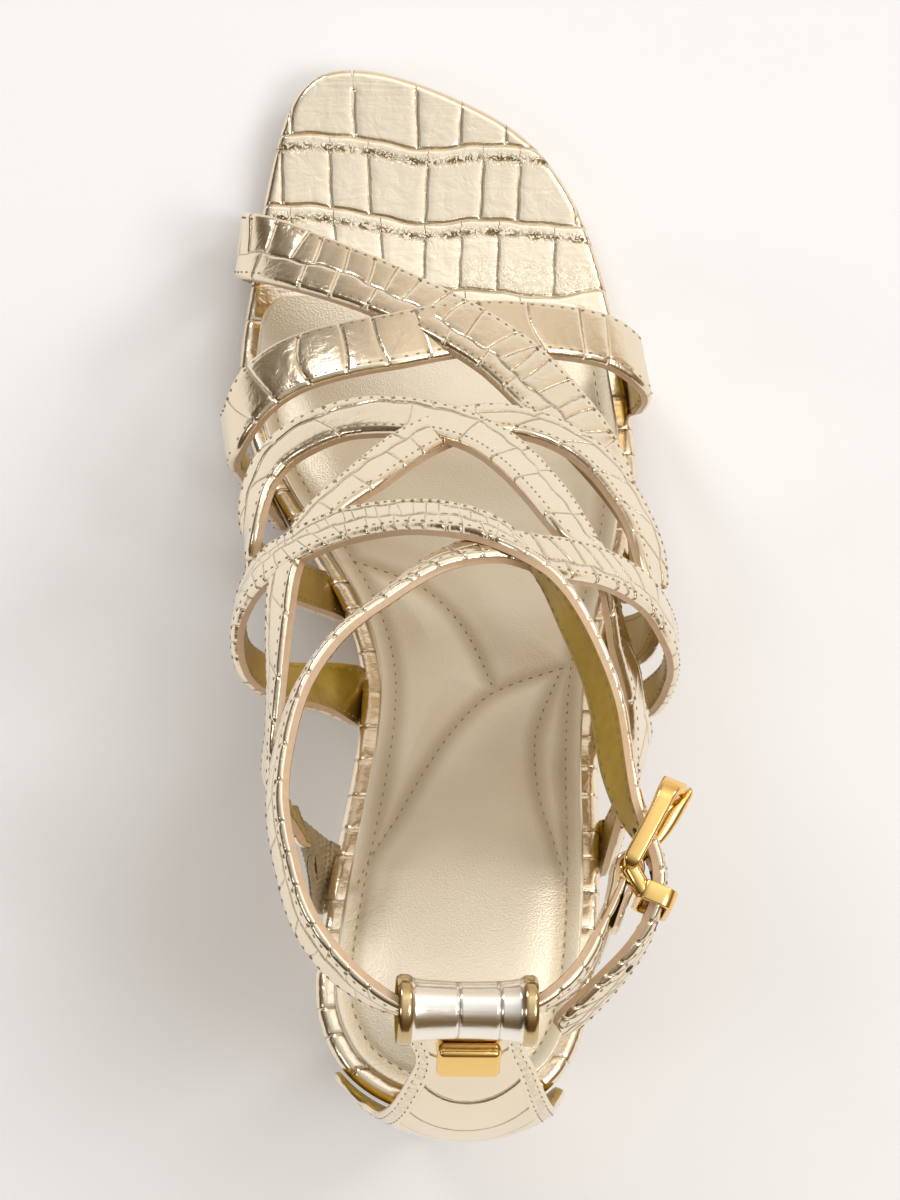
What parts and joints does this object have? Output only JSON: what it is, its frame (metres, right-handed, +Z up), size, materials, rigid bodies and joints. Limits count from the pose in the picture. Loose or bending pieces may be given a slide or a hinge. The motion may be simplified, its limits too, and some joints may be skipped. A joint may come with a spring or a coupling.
{
  "type": "strappy heeled sandal",
  "caption": "Right strappy high-heeled sandal: crossing straps joined into one open upper, buckled ankle strap through a barrel on the heel tab, asymmetric toe, covered heel.",
  "frame": {"origin": "middle of the shoe's bounding box, on the floor it stands on", "axes": "+Y from the heel to the toe, +X to the outer (lateral) side, +Z up"},
  "size_m": [0.0856, 0.231, 0.1589],
  "materials": {
    "gold_leather": "mirror-bright metallic, embossed in large scales",
    "sock_leather": "satin metallic champagne, padded and stitched",
    "sole_leather": "smooth satin",
    "tip_rubber": "matt",
    "gold_metal": "polished gold plate",
    "gold_elastic": "ribbed metallic weave"
  },
  "bodies": {
    "root": {"outsole": "sole_leather", "heel_tip": "tip_rubber", "heel_block": "gold_leather", "insole_board": "gold_leather", "sock_lining": "sock_leather", "upper_straps": "gold_leather", "elastic_gore": "gold_elastic", "heel_counter": "gold_leather", "heel_stud": "gold_metal", "buckle": "gold_metal", "buckle_prong": "gold_metal"}
  },
  "joints": []
}
